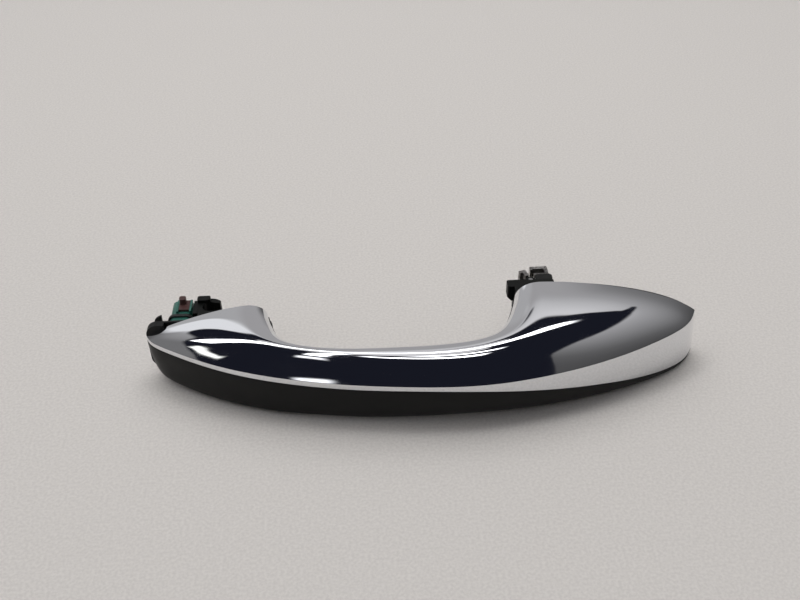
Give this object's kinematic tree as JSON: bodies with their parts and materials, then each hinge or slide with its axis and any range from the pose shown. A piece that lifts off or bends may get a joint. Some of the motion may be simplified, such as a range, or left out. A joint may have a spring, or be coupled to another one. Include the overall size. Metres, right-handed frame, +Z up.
{
  "type": "car door handle",
  "caption": "Pull-type outer car door handle with bright cover over a black lower shell, hinge jaw, pull hook with sprung catch, plug and keyless electronics.",
  "frame": {"origin": "on the hinge axis, at mid height of the hinge hook's jaw", "axes": "+X along the handle from the hinge end to the pulled end; +Y into the door; +Z up on the car, along the hinge axis"},
  "size_m": [0.2294, 0.0709, 0.0399],
  "materials": {
    "chrome": "mirror-bright plated plastic",
    "satin_black": "satin, fine spark grain",
    "carrier_black": "matt moulded, glass-filled",
    "hook_black": "matt moulded, glass-filled",
    "rubber_black": "matt rubber",
    "seal_rubber": "soft silicone",
    "zinc_steel": "zinc plated",
    "spring_steel": "drawn wire",
    "catch_metal": "tumbled die casting",
    "teal_plastic": "semi-gloss moulded",
    "red_brown_plastic": "moulded",
    "brass": "bright",
    "tray_plastic": "matt moulded",
    "board_green": "solder resist",
    "chip_black": "moulded",
    "ferrite": "sintered",
    "bobbin_plastic": "natural nylon",
    "copper": "enamelled copper",
    "foam_grey": "open-cell foam",
    "wire_jacket": "extruded insulation"
  },
  "bodies": {
    "door_seat": {"door_gasket": "rubber_black"},
    "grip": {"chrome_cover": "chrome", "lower_cover": "satin_black", "inner_carrier": "carrier_black", "hinge_hook": "hook_black", "pull_arm": "hook_black", "pull_hook": "zinc_steel", "hook_buffer": "rubber_black", "roll_pins": "spring_steel", "catch_pin": "spring_steel", "catch_spring": "spring_steel", "connector_housing": "teal_plastic", "connector_terminals": "brass", "connector_seal": "seal_rubber", "front_foot_pad": "rubber_black", "rear_foot_pad": "rubber_black", "electronics_tray": "tray_plastic", "circuit_board": "board_green", "board_chips": "chip_black", "antenna_core": "ferrite", "antenna_bobbin": "bobbin_plastic", "antenna_winding": "copper", "unlock_electrode": "copper", "sensor_foam": "foam_grey", "lock_electrode": "copper", "wires": "wire_jacket", "cover_screws": "zinc_steel"},
    "catch": {"retaining_catch": "catch_metal"},
    "plug_lock": {"connector_lock": "red_brown_plastic"}
  },
  "joints": [
    {"name": "grip_swing", "type": "hinge", "parent": "door_seat", "child": "grip", "pos_m": [0, 0, 0], "axis": [0, 0, -1], "range_deg": [0, 8]},
    {"name": "catch_pivot", "type": "hinge", "parent": "grip", "child": "catch", "pos_m": [0.1362, 0.0066, 0], "axis": [0, 0, -1], "range_deg": [0, 16], "stiffness_Nm_per_rad": 0.004, "springref_deg": -17.19},
    {"name": "connector_lock_slide", "type": "slide", "parent": "grip", "child": "plug_lock", "axis": [0, -1, 0], "range_m": [0, 0.002]}
  ]
}
